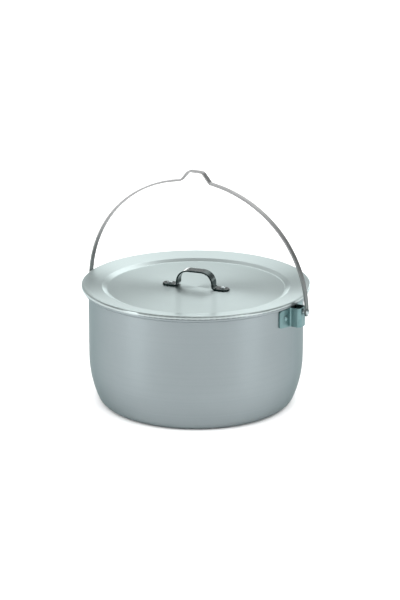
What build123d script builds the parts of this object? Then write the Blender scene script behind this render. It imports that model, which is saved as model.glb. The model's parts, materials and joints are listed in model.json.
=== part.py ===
from build123d import *
import math
import os

# Spun camp kettle: pot, riveted ears, swinging bail and a lift-off lid.
# Millimetres. The origin is the centre of the base, +Z up, the bail's pivots lie along X.

# Pot shell
pot_wall = 1.5
body_radius = 110.0
base_corner_radius = 12.2
lower_curve_radius = 112.0
lower_curve_angle = 22.6
rim_top = 123.0
mouth_bend_radius = 1.0
rim_radius = 115.6
curl_radius = 2.4
curl_sweep = 225.0

# Lid
lid_sheet = 1.0
lid_edge_top = 125.0
lid_radius = 117.0
lid_edge_bend_radius = 1.4
lid_edge_bottom = 121.8
lid_hem_radius = 0.62
lid_crown_radius = 114.8
lid_step_radius = 96.0
lid_step_top = 122.2
lid_floor_radius = 90.8
lid_floor_top = 119.7
lid_bend_radius = 3.0
lid_crown_bend_radius = 6.0

# Lid handle
handle_strip = 1.6
handle_width = 11.5
handle_length = 72.4
handle_span = 40.0
handle_height = 18.1
handle_corner_radius = 13.0
handle_ankle_radius = 2.0
handle_rivet_offset = 28.8
handle_turn = 8.0

# Bail
bail_strip = 1.9
bail_width = 6.2
bail_half_span = 126.7
bail_top_height = 232.1
bail_side_radius = 120.8
bail_leg_top = 115.4
bail_leg_lean = 3.2
bail_leg_bend = 12.0
bail_end_height = 107.5
bail_notch_start = 24.0
bail_notch_half_base = 17.0
bail_notch_half_top = 8.2
bail_notch_height = 10.6
bail_notch_base_bend = 3.0
bail_notch_top_bend = 5.5
pivot_height = 112.3
pivot_hole_radius = 1.87

# Ears
ear_strip = 1.3
ear_top = 116.5
ear_tip_bottom = 98.7
ear_middle_bottom = 96.8
ear_half_length = 24.5
ear_panel_half_width = 7.0
ear_panel_face = 122.4
ear_fold_radius = 4.0
ear_ankle_radius = 1.6
ear_tip_radius = 2.5
ear_rivet_offset = 15.0
ear_rivet_height = 107.5
ear_edge_softening = 0.25

# Rivets and spacers
shank_radius = 1.8
shank_hole_radius = 1.85
rivet_head_radius = 3.0
rivet_head_height = 1.6
rivet_head_lip = 0.3
rivet_tail_radius = 2.8
rivet_tail_height = 1.0
pivot_head_radius = 3.4
pivot_head_height = 1.5
spacer_radius = 2.8
bail_side_gap = 0.15
seat_overlap = 0.12

# Edges
soft_edge = 0.35

OUT = "parts"


def sheet_section(edges, thickness, side):
    """Closed section of a sheet that lies on one side of a line of edges."""
    path = Wire(edges)
    outline = offset(path, amount=thickness, side=side, closed=True)
    return make_face(outline.edges())


def upright(section):
    """Stand a flat section up in the XZ plane."""
    return Plane.XZ * section


def dome_rivet(head_radius, head_height, grip, tail_radius, tail_height, seat):
    """Rivet along Z with its head above the origin and its formed tail below the grip."""
    rise = head_height - rivet_head_lip
    ball = (head_radius ** 2 + rise ** 2) / (2 * rise)
    start = math.degrees(math.asin((ball - rise) / ball))
    tail_end = -grip - tail_height
    profile = Polyline(
        (0, head_height),
        (0, tail_end),
        (tail_radius - rivet_head_lip, tail_end),
        (tail_radius, tail_end + rivet_head_lip),
        (tail_radius, seat - grip),
        (shank_radius, seat - grip),
        (shank_radius, -seat),
        (head_radius, -seat),
        (head_radius, rivet_head_lip),
    )
    dome = CenterArc((0, head_height - ball), ball, start, 90 - start)
    return revolve(upright(make_face([*profile.edges(), dome])), Axis.Z)


def long_edges(strip):
    """Edges that run along both sides of a strip lying across Y."""
    sides = strip.faces().filter_by(Axis.Y)
    return ShapeList([edge for side in sides for edge in side.edges()])


def hole_along(direction_plane, radius, depth):
    """Cutter for a round hole centred on a plane's origin."""
    return direction_plane * Cylinder(radius, depth)


def pot_section():
    """Section of the pot's sheet from the centre of the base out to the end of the curl."""
    angle = math.radians(lower_curve_angle)
    curve_height = base_corner_radius + (lower_curve_radius - base_corner_radius) * math.sin(angle)
    curve_x = body_radius - lower_curve_radius
    corner_x = curve_x + (lower_curve_radius - base_corner_radius) * math.cos(angle)
    bend_z = rim_top - pot_wall - mouth_bend_radius
    bend_x = body_radius + mouth_bend_radius
    curl_x = rim_radius - curl_radius
    inner_curl = curl_radius - pot_wall
    edges = [
        Line((0, 0), (corner_x, 0)),
        CenterArc((corner_x, base_corner_radius), base_corner_radius, -90, 90 - lower_curve_angle),
        CenterArc((curve_x, curve_height), lower_curve_radius, -lower_curve_angle, lower_curve_angle),
        Line((body_radius, curve_height), (body_radius, bend_z)),
        CenterArc((bend_x, bend_z), mouth_bend_radius, 180, -90),
        Line((bend_x, rim_top - pot_wall), (curl_x, rim_top - pot_wall)),
        CenterArc((curl_x, rim_top - curl_radius), inner_curl, 90, -curl_sweep),
    ]
    return sheet_section(edges, pot_wall, Side.LEFT)


def ear_rivet_plane(side, row):
    """Plane on the outside of an ear's tab, facing away from the pot."""
    seat_radius = body_radius + ear_strip
    angle = math.asin(ear_rivet_offset / seat_radius)
    direction = (side * math.cos(angle), row * math.sin(angle), 0)
    origin = (seat_radius * direction[0], seat_radius * direction[1], ear_rivet_height)
    return Plane(origin=origin, z_dir=direction)


def pot_shell():
    """Spun pot with the holes for the ear rivets."""
    shell = revolve(upright(pot_section()), Axis.Z)
    for side in (-1, 1):
        for row in (-1, 1):
            shell -= hole_along(ear_rivet_plane(side, row), shank_hole_radius, 12)
    return shell


def is_ankle(vertex, half_width):
    """True for a corner where the raised panel meets a curved tab."""
    return abs(abs(vertex.Y) - half_width) < 0.01 and vertex.X < body_radius + 2


def ear_right():
    """Hat-section ear: two curved tabs on the wall and a raised panel for the pivot."""
    seat_radius = body_radius + ear_strip
    inner_half = ear_panel_half_width - ear_strip
    panel_back = ear_panel_face - ear_strip
    outer_panel = Pos(ear_panel_face / 2, 0) * Rectangle(ear_panel_face, 2 * ear_panel_half_width)
    inner_panel = Pos(panel_back / 2, 0) * Rectangle(panel_back, 2 * inner_half)
    outer = Circle(seat_radius) + outer_panel
    inner = Circle(body_radius) + inner_panel
    outer_folds = outer.vertices().filter_by(lambda v: v.X > ear_panel_face - 0.01)
    outer = fillet(outer_folds, ear_fold_radius)
    inner_folds = inner.vertices().filter_by(lambda v: v.X > panel_back - 0.01)
    inner = fillet(inner_folds, ear_fold_radius - ear_strip)
    outer_ankles = outer.vertices().filter_by(lambda v: is_ankle(v, ear_panel_half_width))
    outer = fillet(outer_ankles, ear_ankle_radius)
    inner_ankles = inner.vertices().filter_by(lambda v: is_ankle(v, inner_half))
    inner = fillet(inner_ankles, ear_ankle_radius + ear_strip)
    plan = outer - inner
    blank = Pos(0, 0, ear_middle_bottom) * extrude(plan, ear_top - ear_middle_bottom)
    rim = blank.edges().filter_by(lambda e: e.center().Z > ear_top - 0.01)
    blank = fillet(rim, ear_edge_softening)
    corners = [
        (-ear_half_length, ear_top),
        (ear_half_length, ear_top),
        (ear_half_length, ear_tip_bottom),
        (ear_panel_half_width, ear_middle_bottom),
        (-ear_panel_half_width, ear_middle_bottom),
        (-ear_half_length, ear_tip_bottom),
    ]
    outline = make_face(Polyline(*corners, close=True))
    tips = outline.vertices().filter_by(lambda v: abs(v.X) > ear_half_length - 0.01)
    outline = fillet(tips, ear_tip_radius)
    window = Plane.YZ * extrude(outline, 140)
    ear = blank & window
    pivot_plane = Plane(origin=(ear_panel_face, 0, pivot_height), z_dir=(1, 0, 0))
    ear -= hole_along(pivot_plane, shank_hole_radius, 6)
    for row in (-1, 1):
        ear -= hole_along(ear_rivet_plane(1, row), shank_hole_radius, 8)
    return ear


def ear_rivet(side, row, ear, pot):
    """Rivet through one tab and the pot wall, trimmed to sit on both curved faces."""
    grip = ear_strip + pot_wall
    rivet = dome_rivet(
        rivet_head_radius, rivet_head_height, grip, rivet_tail_radius, rivet_tail_height, seat_overlap
    )
    placed = ear_rivet_plane(side, row) * rivet
    return placed - ear - pot


def pivot_rivet_right():
    """Pivot rivet: head outside the bail, shank through the spacer, tail behind the panel."""
    seat = bail_half_span + bail_side_gap
    grip = seat - (ear_panel_face - ear_strip)
    rivet = dome_rivet(
        pivot_head_radius, pivot_head_height, grip, rivet_tail_radius, rivet_tail_height, 0.0
    )
    return Plane(origin=(seat, 0, pivot_height), z_dir=(1, 0, 0)) * rivet


def pivot_spacer_right():
    """Collar between the ear's panel and the bail."""
    length = bail_half_span - bail_strip - bail_side_gap - ear_panel_face
    ring = Circle(spacer_radius) - Circle(shank_hole_radius)
    seat = Plane(origin=(ear_panel_face, 0, pivot_height), z_dir=(1, 0, 0))
    return seat * extrude(ring, length)


def bail_half_edges():
    """Right half of the bail's outer line, from its end up to the start of the notch."""
    lean = math.radians(bail_leg_lean)
    bend_x = bail_half_span - bail_leg_bend
    side_x = bend_x - (bail_side_radius - bail_leg_bend) * math.cos(lean)
    side_z = bail_leg_top - (bail_side_radius - bail_leg_bend) * math.sin(lean)
    excess = bail_top_height - side_z - bail_side_radius
    side_angle = 90 - 2 * math.degrees(math.atan(excess / side_x))
    side_turn = math.radians(side_angle)
    top_radius = bail_side_radius + side_x / math.cos(side_turn)
    top_centre = side_z - side_x * math.tan(side_turn)
    start_angle = math.degrees(math.acos(bail_notch_start / top_radius))
    edges = [
        Line((bail_half_span, bail_end_height), (bail_half_span, bail_leg_top)),
        CenterArc((bend_x, bail_leg_top), bail_leg_bend, 0, bail_leg_lean),
        CenterArc((side_x, side_z), bail_side_radius, bail_leg_lean, side_angle - bail_leg_lean),
        CenterArc((0, top_centre), top_radius, side_angle, start_angle - side_angle),
    ]
    return edges, top_radius, top_centre


def bail():
    """Flat-strip bail with straight legs, a three-centre arch and a raised pot-hook notch."""
    right, top_radius, top_centre = bail_half_edges()
    rise = math.sqrt(top_radius ** 2 - bail_notch_start ** 2)
    start_z = top_centre + rise
    base_z = start_z + (bail_notch_start - bail_notch_half_base) * bail_notch_start / rise
    top_z = base_z + bail_notch_height
    notch = FilletPolyline(
        (bail_notch_start, start_z),
        (bail_notch_half_base, base_z),
        (bail_notch_half_top, top_z),
        (-bail_notch_half_top, top_z),
        (-bail_notch_half_base, base_z),
        (-bail_notch_start, start_z),
        radius=[bail_notch_base_bend, bail_notch_top_bend, bail_notch_top_bend, bail_notch_base_bend],
    )
    left = [mirror(item, Plane.YZ).edge() for item in reversed(right)]
    section = sheet_section([*right, *notch.edges(), *left], bail_strip, Side.LEFT)
    strip = extrude(upright(section), bail_width / 2, both=True)
    ends = strip.edges().filter_by(Axis.X).filter_by(lambda e: e.center().Z < bail_end_height + 0.01)
    strip = fillet(ends, bail_width / 2 - 0.02)
    strip = fillet(long_edges(strip), soft_edge)
    pivot_line = Plane(origin=(0, 0, pivot_height), z_dir=(1, 0, 0))
    return strip - hole_along(pivot_line, pivot_hole_radius, 2 * bail_half_span + 20)


def lid_rivet_spots():
    """Places of the two handle rivets on the lid's floor."""
    return [(-handle_rivet_offset, 0), (handle_rivet_offset, 0)]


def lid():
    """Spun lid: flat floor, small step, sloping ring and a turned-down, hemmed edge."""
    hem_x = lid_radius - lid_hem_radius
    hem_z = lid_edge_bottom + lid_hem_radius
    top_line = FilletPolyline(
        (0, lid_floor_top),
        (lid_floor_radius, lid_floor_top),
        (lid_step_radius, lid_step_top),
        (lid_crown_radius, lid_edge_top),
        (lid_radius, lid_edge_top),
        (lid_radius, hem_z),
        radius=[lid_bend_radius, lid_bend_radius, lid_crown_bend_radius, lid_edge_bend_radius],
    )
    sheet = sheet_section(top_line.edges(), lid_sheet, Side.RIGHT)
    hem = Pos(hem_x, hem_z) * Circle(lid_hem_radius)
    blank = revolve(upright(sheet + hem), Axis.Z)
    for x, y in lid_rivet_spots():
        spot = Rot(0, 0, handle_turn) * Pos(x, y, lid_floor_top)
        blank -= spot * Cylinder(shank_hole_radius, 6)
    return blank


def lid_handle():
    """Bent strap with two round-ended feet and an arch for the fingers."""
    foot_z = lid_floor_top + handle_strip
    half_span = handle_span / 2
    half_length = handle_length / 2
    points = [
        (-half_length, foot_z),
        (-half_span, foot_z),
        (-half_span, lid_floor_top + handle_height),
        (half_span, lid_floor_top + handle_height),
        (half_span, foot_z),
        (half_length, foot_z),
    ]
    bends = [handle_ankle_radius, handle_corner_radius, handle_corner_radius, handle_ankle_radius]
    top_line = FilletPolyline(*points, radius=bends)
    section = sheet_section(top_line.edges(), handle_strip, Side.RIGHT)
    strap = extrude(upright(section), handle_width / 2, both=True)
    tips = strap.edges().filter_by(Axis.Z).filter_by(lambda e: abs(e.center().X) > half_length - 0.01)
    strap = fillet(tips, handle_width / 2 - 0.02)
    strap = fillet(long_edges(strap), soft_edge)
    for x, y in lid_rivet_spots():
        strap -= Pos(x, y, foot_z) * Cylinder(shank_hole_radius, 6)
    return Rot(0, 0, handle_turn) * strap


def lid_rivet(spot):
    """Rivet through one foot of the handle and the lid's floor."""
    grip = handle_strip + lid_sheet
    rivet = dome_rivet(
        rivet_head_radius, rivet_head_height, grip, rivet_tail_radius, rivet_tail_height, 0.0
    )
    seat = Pos(spot[0], spot[1], lid_floor_top + handle_strip)
    return Rot(0, 0, handle_turn) * seat * rivet


def main():
    """Build every node and write it to its own file."""
    os.makedirs(OUT, exist_ok=True)
    half_turn = Rot(0, 0, 180)
    pot = pot_shell()
    right_ear = ear_right()
    left_ear = half_turn * right_ear
    spots = lid_rivet_spots()
    nodes = {
        "pot_shell": pot,
        "ear_right": right_ear,
        "ear_left": left_ear,
        "ear_rivet_right_front": ear_rivet(1, -1, right_ear, pot),
        "ear_rivet_right_back": ear_rivet(1, 1, right_ear, pot),
        "ear_rivet_left_front": ear_rivet(-1, -1, left_ear, pot),
        "ear_rivet_left_back": ear_rivet(-1, 1, left_ear, pot),
        "pivot_rivet_right": pivot_rivet_right(),
        "pivot_rivet_left": half_turn * pivot_rivet_right(),
        "pivot_spacer_right": pivot_spacer_right(),
        "pivot_spacer_left": half_turn * pivot_spacer_right(),
        "bail": bail(),
        "lid": lid(),
        "lid_handle": lid_handle(),
        "lid_rivet_left": lid_rivet(spots[0]),
        "lid_rivet_right": lid_rivet(spots[1]),
    }
    for name, solid in nodes.items():
        export_step(solid, OUT + "/" + name + ".step")
        box = solid.bounding_box()
        print(name, len(solid.solids()), box.min, box.max, round(solid.volume, 1))


main()
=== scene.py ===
import json
import math

import bpy
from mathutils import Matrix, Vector


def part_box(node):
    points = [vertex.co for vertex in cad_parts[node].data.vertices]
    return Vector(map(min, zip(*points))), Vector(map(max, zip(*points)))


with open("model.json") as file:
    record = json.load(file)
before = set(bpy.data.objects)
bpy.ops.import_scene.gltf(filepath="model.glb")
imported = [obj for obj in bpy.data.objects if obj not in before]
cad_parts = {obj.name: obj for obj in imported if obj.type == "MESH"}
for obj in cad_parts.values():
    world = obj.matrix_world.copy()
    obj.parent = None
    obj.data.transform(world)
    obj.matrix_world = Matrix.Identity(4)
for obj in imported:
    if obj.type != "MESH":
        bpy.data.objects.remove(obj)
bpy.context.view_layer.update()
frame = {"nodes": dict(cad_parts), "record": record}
nodes = frame["nodes"]

# View. Angles in degrees, distances in metres, lens and sensor in millimetres.
VIEW_AZIMUTH = 29.0
VIEW_ELEVATION = 17.0
VIEW_DISTANCE = 2.244
AIM_ABOVE_RIM = 0.002
LENS = 132.0
SENSOR = 36.0
SHIFT_RIGHT = 0.0065
SHIFT_DOWN = 0.0303333

# Metal surfaces. The depths of lines and grain in metres.
BRUSH_QUARTER_TURN = 0.25
SPUN_LINE_DEPTH = 0.00002
PLATED_GRAIN_DEPTH = 0.00006
STRIP_LINE_DEPTH = 0.00004

# Stage, in metres and degrees
FLOOR_HALF = 40.0
LIGHT_AIM_HEIGHT = 0.1
SIDE_BOX_HEIGHT = 0.9
SIDE_BOX_DISTANCE = 1.6
SIDE_BOX_ELEVATION = 16
WALL_CENTRE = 0.22


def direction(azimuth, elevation):
    """Unit vector from the object towards a place at that azimuth and elevation."""
    a = math.radians(azimuth)
    e = math.radians(elevation)
    return Vector((math.sin(a) * math.cos(e), -math.cos(a) * math.cos(e), math.sin(e)))


def make_camera():
    """Camera at the viewing angle, with the small shift that the framing needs."""
    data = bpy.data.cameras.new("camera")
    data.sensor_width = SENSOR
    data.lens = LENS
    data.shift_x = SHIFT_RIGHT
    data.shift_y = -SHIFT_DOWN
    data.dof.use_dof = False
    camera = bpy.data.objects.new("camera", data)
    bpy.context.scene.collection.objects.link(camera)
    back = direction(VIEW_AZIMUTH, VIEW_ELEVATION)
    rim_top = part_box("pot_shell")[1].z
    target = Vector((0, 0, rim_top + AIM_ABOVE_RIM))
    camera.location = target + back * VIEW_DISTANCE
    camera.rotation_mode = "QUATERNION"
    camera.rotation_quaternion = (-back).to_track_quat("-Z", "Y")
    bpy.context.scene.camera = camera


make_camera()


# ---------------------------------------------------------------- node helpers

class Tree:
    """Adds and links the shader nodes of one material or world."""

    def __init__(self, owner):
        self.nodes = owner.node_tree.nodes
        self.links = owner.node_tree.links

    def add(self, kind, **settings):
        node = self.nodes.new(kind)
        for name, value in settings.items():
            setattr(node, name, value)
        return node

    def link(self, source, target):
        self.links.new(source, target)

    def fill(self, node, values):
        """Gives each input of a node its number or its link, and returns the node's output."""
        for target, value in zip(node.inputs, values):
            if isinstance(value, (int, float)):
                target.default_value = value
            else:
                self.link(value, target)
        return node.outputs[0]

    def math(self, operation, *values):
        return self.fill(self.add("ShaderNodeMath", operation=operation), values)

    def combine(self, x, y, z):
        return self.fill(self.add("ShaderNodeCombineXYZ"), (x, y, z))

    def split(self, vector):
        """X, Y and Z of a vector."""
        node = self.add("ShaderNodeSeparateXYZ")
        self.link(vector, node.inputs[0])
        return node.outputs

    def blend(self, *parts):
        """Sum of (share, value) pairs."""
        total, *others = [self.math("MULTIPLY", value, share) for share, value in parts]
        for part in others:
            total = self.math("ADD", total, part)
        return total

    def along(self, vector, towards):
        """How far a vector points towards a direction, from -1 to 1."""
        node = self.add("ShaderNodeVectorMath", operation="DOT_PRODUCT")
        node.inputs[1].default_value = towards
        self.link(vector, node.inputs[0])
        return node.outputs["Value"]

    def noise(self, vector, scale, detail, roughness):
        node = self.add("ShaderNodeTexNoise")
        node.inputs["Scale"].default_value = scale
        node.inputs["Detail"].default_value = detail
        node.inputs["Roughness"].default_value = roughness
        self.link(vector, node.inputs["Vector"])
        return node.outputs["Fac"]

    def ramp(self, value, stops):
        """Colour or tone that runs through (position, colour) stops."""
        node = self.add("ShaderNodeValToRGB")
        elements = node.color_ramp.elements
        while len(elements) > 1:
            elements.remove(elements[0])
        for index, (position, colour) in enumerate(stops):
            if isinstance(colour, (int, float)):
                colour = (colour, colour, colour)
            item = elements[0] if index == 0 else elements.new(position)
            item.position = position
            item.color = (*colour, 1.0)
        self.link(value, node.inputs["Fac"])
        return node.outputs["Color"]

    def span(self, value, low, high):
        """Maps 0 to 1 on to low to high."""
        node = self.add("ShaderNodeMapRange")
        node.inputs["To Min"].default_value = low
        node.inputs["To Max"].default_value = high
        self.link(value, node.inputs["Value"])
        return node.outputs["Result"]

    def bump(self, height, strength, distance):
        node = self.add("ShaderNodeBump")
        node.inputs["Strength"].default_value = strength
        node.inputs["Distance"].default_value = distance
        self.link(height, node.inputs["Height"])
        return node.outputs["Normal"]


def new_metal(name, anisotropy=0.0, edge=(1.0, 1.0, 1.0)):
    """A metal with a tint at grazing angles; returns the material, its tree helper and its shader."""
    material = bpy.data.materials.new(name)
    material.use_nodes = True
    tree = Tree(material)
    shader = tree.nodes["Principled BSDF"]
    shader.inputs["Metallic"].default_value = 1.0
    shader.inputs["Anisotropic"].default_value = anisotropy
    shader.inputs["Anisotropic Rotation"].default_value = BRUSH_QUARTER_TURN
    shader.inputs["Specular Tint"].default_value = (*edge, 1.0)
    return material, tree, shader


def object_place(tree):
    """Position on the object, in metres."""
    return tree.add("ShaderNodeTexCoord").outputs["Object"]


def ring_place(tree, place):
    """Position that is the same all round the Z axis: radius, nothing and height."""
    x, y, z = tree.split(place)
    squares = tree.math("ADD", tree.math("MULTIPLY", x, x), tree.math("MULTIPLY", y, y))
    return tree.combine(tree.math("SQRT", squares), 0.0, z)


def spun_metal(name, dark, light, roughness, anisotropy, edge):
    """Spun sheet metal: fine turning lines round the Z axis, soft cloudy patches and a fine grain."""
    material, tree, shader = new_metal(name, anisotropy, edge)
    place = object_place(tree)
    rings = ring_place(tree, place)
    fine = tree.noise(rings, scale=2600.0, detail=3.0, roughness=0.65)
    coarse = tree.noise(rings, scale=420.0, detail=2.0, roughness=0.5)
    cloud = tree.noise(place, scale=16.0, detail=4.0, roughness=0.55)
    grain = tree.noise(place, scale=900.0, detail=2.0, roughness=0.6)
    lines = tree.blend((0.65, fine), (0.35, coarse))
    mixed = tree.blend((0.55, lines), (0.3, cloud), (0.15, grain))
    tree.link(tree.ramp(mixed, [(0.3, dark), (0.7, light)]), shader.inputs["Base Color"])
    tree.link(tree.span(mixed, roughness - 0.06, roughness + 0.06), shader.inputs["Roughness"])
    tree.link(tree.bump(lines, strength=0.35, distance=SPUN_LINE_DEPTH), shader.inputs["Normal"])
    tangent = tree.add("ShaderNodeTangent", direction_type="RADIAL", axis="Z")
    tree.link(tangent.outputs[0], shader.inputs["Tangent"])
    return material


def plated_metal(name, dark, light, roughness, scale=1.0):
    """Zinc-plated pressed steel: dull and cloudy, with a fine grain."""
    material, tree, shader = new_metal(name)
    place = object_place(tree)
    cloud = tree.noise(place, scale=110.0 * scale, detail=4.0, roughness=0.6)
    grain = tree.noise(place, scale=2200.0 * scale, detail=2.0, roughness=0.6)
    mixed = tree.blend((0.7, cloud), (0.3, grain))
    tree.link(tree.ramp(mixed, [(0.35, dark), (0.65, light)]), shader.inputs["Base Color"])
    tree.link(tree.span(mixed, roughness - 0.07, roughness + 0.09), shader.inputs["Roughness"])
    tree.link(tree.bump(grain, strength=0.25, distance=PLATED_GRAIN_DEPTH), shader.inputs["Normal"])
    return material


def darken_below(tree, color, height, start, end, tone):
    """Multiplies a colour by a tone below the start height, and fades that out up to the end height."""
    fade = tree.add("ShaderNodeMapRange", clamp=True)
    fade.inputs["From Min"].default_value = start
    fade.inputs["From Max"].default_value = end
    tree.link(height, fade.inputs["Value"])
    tint = tree.ramp(fade.outputs[0], [(0.0, tone), (1.0, (1.0, 1.0, 1.0))])
    product = tree.add("ShaderNodeMix", data_type="RGBA", blend_type="MULTIPLY")
    product.inputs["Factor"].default_value = 1.0
    tree.link(color, product.inputs[6])
    tree.link(tint, product.inputs[7])
    return product.outputs[2]


def strip_metal(name, dark, light, roughness, anisotropy=0.0, painted_low_shade=None):
    """Drawn strip steel: faint lines along it. The last argument gives the (start, end, tone) of a
    painted shade that darkens its lower ends.
    """
    material, tree, shader = new_metal(name, anisotropy)
    place = object_place(tree)
    x, y, z = tree.split(place)
    stretched = tree.combine(
        tree.math("MULTIPLY", x, 20.0),
        tree.math("MULTIPLY", y, 1400.0),
        tree.math("MULTIPLY", z, 20.0),
    )
    lines = tree.noise(stretched, scale=1.0, detail=3.0, roughness=0.6)
    cloud = tree.noise(place, scale=60.0, detail=4.0, roughness=0.6)
    mixed = tree.blend((0.45, lines), (0.55, cloud))
    color = tree.ramp(mixed, [(0.32, dark), (0.68, light)])
    # Painted shade: the strip's colour is darkened below a height, standing in for the darker look of
    # its lower ends.
    if painted_low_shade:
        color = darken_below(tree, color, z, *painted_low_shade)
    tree.link(color, shader.inputs["Base Color"])
    tree.link(tree.span(mixed, roughness - 0.06, roughness + 0.08), shader.inputs["Roughness"])
    tree.link(tree.bump(lines, strength=0.2, distance=STRIP_LINE_DEPTH), shader.inputs["Normal"])
    return material


# ------------------------------------------------------------------- materials

looks = {
    "pot_aluminium": spun_metal(
        "pot_aluminium",
        dark=(0.222, 0.257, 0.267),
        light=(0.262, 0.297, 0.307),
        roughness=0.42,
        anisotropy=0.5,
        edge=(0.5, 0.56, 0.56),
    ),
    "lid_aluminium": spun_metal(
        "lid_aluminium",
        dark=(0.365, 0.418, 0.415),
        light=(0.42, 0.478, 0.475),
        roughness=0.32,
        anisotropy=0.8,
        edge=(0.8, 0.85, 0.85),
    ),
    "plated_ear_steel": plated_metal(
        "plated_ear_steel",
        dark=(0.118, 0.20, 0.205),
        light=(0.165, 0.26, 0.265),
        roughness=0.42,
    ),
    "rivet_steel": plated_metal(
        "rivet_steel",
        dark=(0.26, 0.31, 0.315),
        light=(0.38, 0.43, 0.435),
        roughness=0.30,
        scale=1.6,
    ),
    "bail_steel": strip_metal(
        "bail_steel",
        dark=(0.20, 0.203, 0.203),
        light=(0.29, 0.293, 0.293),
        roughness=0.36,
        anisotropy=0.3,
        # Painted shade on the bail's lower ends: full below 0.118 m, fading out by 0.185 m.
        painted_low_shade=(0.118, 0.185, (0.42, 0.49, 0.48)),
    ),
    "handle_steel": strip_metal(
        "handle_steel",
        dark=(0.018, 0.034, 0.034),
        light=(0.05, 0.075, 0.073),
        roughness=0.16,
    ),
}

slot_of = {item["node"]: item["material_slot"] for item in frame["record"]["subparts"]}
for name, piece in nodes.items():
    piece.data.materials.clear()
    piece.data.materials.append(looks[slot_of[name]])


# ------------------------------------------------------------- floor and lights

def make_floor():
    """Plain pale floor, large enough to fill a low view."""
    half = FLOOR_HALF
    mesh = bpy.data.meshes.new("floor")
    corners = [(-half, -half, 0), (half, -half, 0), (half, half, 0), (-half, half, 0)]
    mesh.from_pydata(corners, [], [(0, 1, 2, 3)])
    floor = bpy.data.objects.new("floor", mesh)
    bpy.context.scene.collection.objects.link(floor)
    material = bpy.data.materials.new("floor_paper")
    material.use_nodes = True
    shader = material.node_tree.nodes["Principled BSDF"]
    shader.inputs["Base Color"].default_value = (0.93, 0.93, 0.93, 1)
    shader.inputs["Roughness"].default_value = 0.9
    shader.inputs["Specular IOR Level"].default_value = 0.1
    mesh.materials.append(material)


def place_light(name, data, azimuth, elevation, distance):
    """Puts a light round the kettle's middle, facing it."""
    light = bpy.data.objects.new(name, data)
    bpy.context.scene.collection.objects.link(light)
    towards = direction(azimuth, elevation)
    light.location = Vector((0, 0, LIGHT_AIM_HEIGHT)) + towards * distance
    light.rotation_mode = "QUATERNION"
    light.rotation_quaternion = (-towards).to_track_quat("-Z", "Y")
    return light


def make_side_box(name, azimuth, width, power):
    """Tall soft box beside the camera, just above the kettle's middle."""
    data = bpy.data.lights.new(name, "AREA")
    data.shape = "RECTANGLE"
    data.size = width
    data.size_y = SIDE_BOX_HEIGHT
    data.energy = power
    place_light(name, data, azimuth, SIDE_BOX_ELEVATION, SIDE_BOX_DISTANCE)


def make_sun():
    """Broad, even light that keeps the floor one tone and makes no highlight on the metal."""
    data = bpy.data.lights.new("soft_sun", "SUN")
    data.energy = 3.7
    data.angle = math.radians(100)
    light = place_light("soft_sun", data, VIEW_AZIMUTH, 66, 0)
    light.visible_glossy = False


def make_world():
    """Studio room, as the metal reflects it; the camera itself sees it plain white.

    The room is dim in front of the kettle, brighter behind it and dim on the right. Low along the
    back runs a white wall, and a soft box hangs higher at the back and, at half strength, in front.
    """
    world = bpy.data.worlds.new("studio")
    world.use_nodes = True
    bpy.context.scene.world = world
    tree = Tree(world)
    place = tree.add("ShaderNodeTexCoord").outputs["Generated"]
    facing = tree.along(place, -direction(VIEW_AZIMUTH, 0))
    beside = tree.along(place, direction(VIEW_AZIMUTH + 90, 0))
    height = tree.split(place)[2]
    off_middle = tree.math("ABSOLUTE", tree.math("SUBTRACT", beside, WALL_CENTRE))
    room = tree.ramp(facing, [(0.0, 0.28), (0.35, 0.5), (0.7, 0.68)])
    right = tree.ramp(beside, [(0.4, 1.0), (0.8, 0.5)])
    back = tree.ramp(facing, [(0.15, 0.0), (0.4, 1.0)])
    middle = tree.ramp(off_middle, [(0.3, 1.0), (0.6, 0.0)])
    front = tree.ramp(tree.math("MULTIPLY", facing, -1.0), [(0.15, 0.0), (0.4, 0.5)])
    wall = tree.ramp(height, [(0.05, 5.0), (0.15, 0.0)])
    box = tree.ramp(height, [(0.37, 0.0), (0.5, 2.0), (0.78, 2.0), (0.9, 0.0)])
    behind = tree.math("MULTIPLY", tree.math("MULTIPLY", back, middle), tree.math("ADD", wall, box))
    glow = tree.math("ADD", behind, tree.math("MULTIPLY", front, box))
    reflected = tree.math("ADD", tree.math("MULTIPLY", room, right), glow)
    seen = tree.add("ShaderNodeLightPath").outputs["Is Camera Ray"]
    tree.link(tree.math("MAXIMUM", reflected, seen), tree.nodes["Background"].inputs["Color"])


make_floor()
make_world()
make_sun()
make_side_box("left_box", VIEW_AZIMUTH - 62, width=0.5, power=5.8)
make_side_box("right_box", VIEW_AZIMUTH + 56, width=0.35, power=4.7)

bpy.context.scene.view_settings.view_transform = "Standard"
